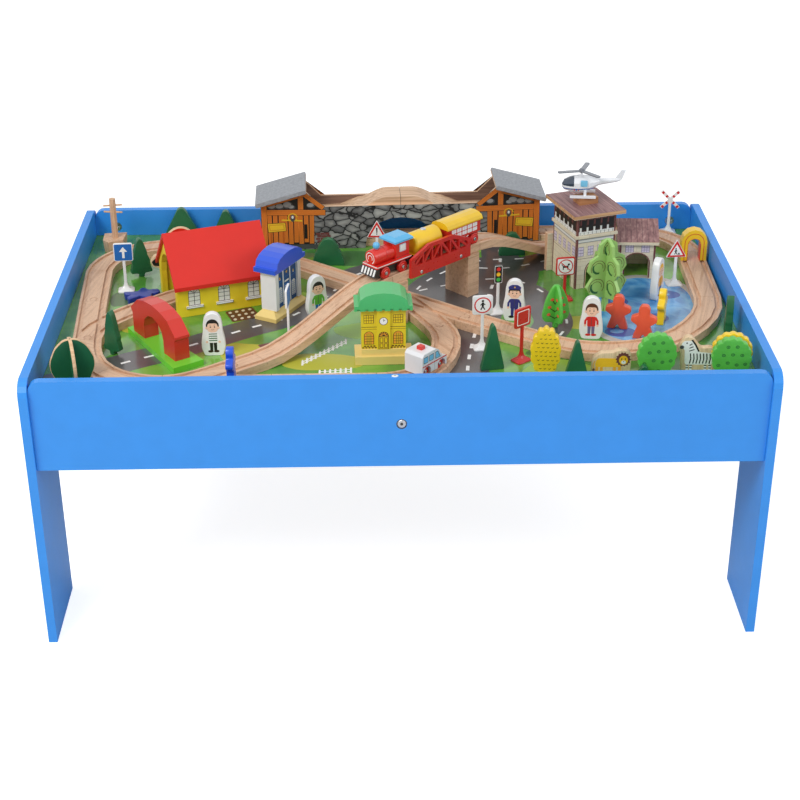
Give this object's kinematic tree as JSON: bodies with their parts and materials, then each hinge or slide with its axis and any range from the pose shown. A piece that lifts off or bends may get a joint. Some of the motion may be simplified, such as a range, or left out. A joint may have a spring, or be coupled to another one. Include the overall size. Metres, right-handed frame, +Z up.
{
  "type": "activity table",
  "caption": "Children's activity table with arched board ends and a raised tray, set with a wooden railway: looped track, bridge, tunnel, buildings, train and scenery.",
  "frame": {"origin": "on the floor, under the middle of the table's outline", "axes": "+X along the table's length, to the right as the picture shows it; +Y from the front panel to the back panel; +Z up"},
  "size_m": [0.98, 0.62, 0.5311],
  "materials": {
    "beech": "bare, matt",
    "blue_paint": "satin",
    "cobalt_paint": "satin paint",
    "grey_paint": "satin paint",
    "leaf_paint": "satin paint",
    "printed_board": "satin paint",
    "printed_mat": "semi-gloss print",
    "red_paint": "satin paint",
    "sky_paint": "satin paint",
    "stone_board": "satin paint",
    "white_paint": "satin paint",
    "white_plastic": "gloss",
    "yellow_paint": "satin paint",
    "zinc": "satin plated"
  },
  "bodies": {
    "table": {"left_end_panel": "blue_paint", "right_end_panel": "blue_paint", "front_panel": "blue_paint", "back_panel": "blue_paint", "playboard": "printed_mat", "centre_rail": "blue_paint", "front_centre_bolt": "zinc", "back_centre_bolt": "zinc", "front_right_cam_lock": "zinc", "front_left_cam_lock": "zinc", "back_right_cam_lock": "zinc", "back_left_cam_lock": "zinc", "left_track": "beech", "back_track": "beech", "diagonal_track": "beech", "right_track": "beech", "loop_track": "beech", "front_corner_track": "beech", "siding_track": "beech", "climb_track": "beech", "bridge_deck": "beech", "descent_track": "beech", "left_switch": "beech", "back_switch": "beech", "loop_switch": "beech", "front_switch": "beech", "east_switch": "beech", "back_truss": "red_paint", "front_truss": "red_paint", "west_pier": "beech", "east_pier": "beech", "scenery_sheet": "leaf_paint"},
    "house": {"house_walls": "yellow_paint", "house_roof": "red_paint"},
    "bank": {"bank": "cobalt_paint"},
    "station": {"station": "yellow_paint"},
    "tower": {"tower": "stone_board"},
    "garage": {"garage": "stone_board"},
    "mine_left": {"mine_left_half": "printed_board"},
    "mine_right": {"mine_right_half": "printed_board"},
    "locomotive": {"loco_body": "red_paint", "loco_roof": "sky_paint"},
    "tank_car": {"tank_car": "yellow_paint"},
    "coach": {"coach_body": "red_paint", "coach_roof": "yellow_paint"},
    "ambulance": {"ambulance_body": "white_paint"},
    "red_arch": {"red_arch": "red_paint"},
    "yellow_arch": {"yellow_arch": "yellow_paint"},
    "utility_pole": {"utility_pole": "beech"},
    "leafy_tree": {"leafy_tree": "leaf_paint"},
    "helicopter": {"helicopter_body": "white_plastic"},
    "rotor": {"helicopter_rotor": "grey_paint"},
    "loco_front_wheels": {"loco_front_wheelset": "red_paint"},
    "loco_rear_wheels": {"loco_rear_wheelset": "red_paint"},
    "tank_front_wheels": {"tank_front_wheelset": "red_paint"},
    "tank_rear_wheels": {"tank_rear_wheelset": "red_paint"},
    "coach_front_wheels": {"coach_front_wheelset": "red_paint"},
    "coach_rear_wheels": {"coach_rear_wheelset": "red_paint"},
    "ambulance_front_wheels": {"ambulance_front_wheelset": "red_paint"},
    "ambulance_rear_wheels": {"ambulance_rear_wheelset": "red_paint"}
  },
  "joints": [
    {"name": "house_lift", "type": "slide", "parent": "table", "child": "house", "axis": [0, 0, 1], "range_m": [0, 0.2]},
    {"name": "bank_lift", "type": "slide", "parent": "table", "child": "bank", "axis": [0, 0, 1], "range_m": [0, 0.2]},
    {"name": "station_lift", "type": "slide", "parent": "table", "child": "station", "axis": [0, 0, 1], "range_m": [0, 0.2]},
    {"name": "tower_lift", "type": "slide", "parent": "table", "child": "tower", "axis": [0, 0, 1], "range_m": [0, 0.2]},
    {"name": "garage_lift", "type": "slide", "parent": "table", "child": "garage", "axis": [0, 0, 1], "range_m": [0, 0.075]},
    {"name": "mine_left_lift", "type": "slide", "parent": "table", "child": "mine_left", "axis": [0, 0, 1], "range_m": [0, 0.2]},
    {"name": "mine_right_lift", "type": "slide", "parent": "table", "child": "mine_right", "axis": [0, 0, 1], "range_m": [0, 0.2]},
    {"name": "locomotive_lift", "type": "slide", "parent": "table", "child": "locomotive", "axis": [0, 0, 1], "range_m": [0, 0.12]},
    {"name": "tank_car_lift", "type": "slide", "parent": "table", "child": "tank_car", "axis": [0, 0, 1], "range_m": [0, 0.12]},
    {"name": "coach_lift", "type": "slide", "parent": "table", "child": "coach", "axis": [0, 0, 1], "range_m": [0, 0.12]},
    {"name": "ambulance_lift", "type": "slide", "parent": "table", "child": "ambulance", "axis": [0, 0, 1], "range_m": [0, 0.18]},
    {"name": "red_arch_lift", "type": "slide", "parent": "table", "child": "red_arch", "axis": [0, 0, 1], "range_m": [0, 0.2]},
    {"name": "yellow_arch_lift", "type": "slide", "parent": "table", "child": "yellow_arch", "axis": [0, 0, 1], "range_m": [0, 0.18]},
    {"name": "utility_pole_lift", "type": "slide", "parent": "table", "child": "utility_pole", "axis": [0, 0, 1], "range_m": [0, 0.2]},
    {"name": "leafy_tree_lift", "type": "slide", "parent": "table", "child": "leafy_tree", "axis": [0, 0, 1], "range_m": [0, 0.2]},
    {"name": "helicopter_lift", "type": "slide", "parent": "tower", "child": "helicopter", "axis": [0, 0, 1], "range_m": [0, 0.08]},
    {"name": "rotor_spin", "type": "hinge", "parent": "helicopter", "child": "rotor", "pos_m": [0.27297, 0.10544, 0.5266], "axis": [0, 0, 1], "continuous": true},
    {"name": "loco_front_roll", "type": "hinge", "parent": "locomotive", "child": "loco_front_wheels", "pos_m": [-0.02686, -0.05735, 0.4448], "axis": [0.6807, -0.7325, 0], "continuous": true},
    {"name": "loco_rear_roll", "type": "hinge", "parent": "locomotive", "child": "loco_rear_wheels", "pos_m": [-0.00269, -0.03488, 0.4448], "axis": [0.6807, -0.7325, 0], "continuous": true},
    {"name": "tank_front_roll", "type": "hinge", "parent": "tank_car", "child": "tank_front_wheels", "pos_m": [0.02369, -0.01038, 0.4448], "axis": [0.6807, -0.7325, 0], "continuous": true},
    {"name": "tank_rear_roll", "type": "hinge", "parent": "tank_car", "child": "tank_rear_wheels", "pos_m": [0.05006, 0.01413, 0.4448], "axis": [0.6807, -0.7325, 0], "continuous": true},
    {"name": "coach_front_roll", "type": "hinge", "parent": "coach", "child": "coach_front_wheels", "pos_m": [0.07277, 0.03523, 0.4448], "axis": [0.6807, -0.7325, 0], "continuous": true},
    {"name": "coach_rear_roll", "type": "hinge", "parent": "coach", "child": "coach_rear_wheels", "pos_m": [0.10353, 0.06382, 0.4448], "axis": [0.6807, -0.7325, 0], "continuous": true},
    {"name": "ambulance_front_roll", "type": "hinge", "parent": "ambulance", "child": "ambulance_front_wheels", "pos_m": [0.04334, -0.21268, 0.38], "axis": [-0.7547, 0.6561, 0], "continuous": true},
    {"name": "ambulance_rear_roll", "type": "hinge", "parent": "ambulance", "child": "ambulance_rear_wheels", "pos_m": [0.02366, -0.23532, 0.38], "axis": [-0.7547, 0.6561, 0], "continuous": true}
  ]
}
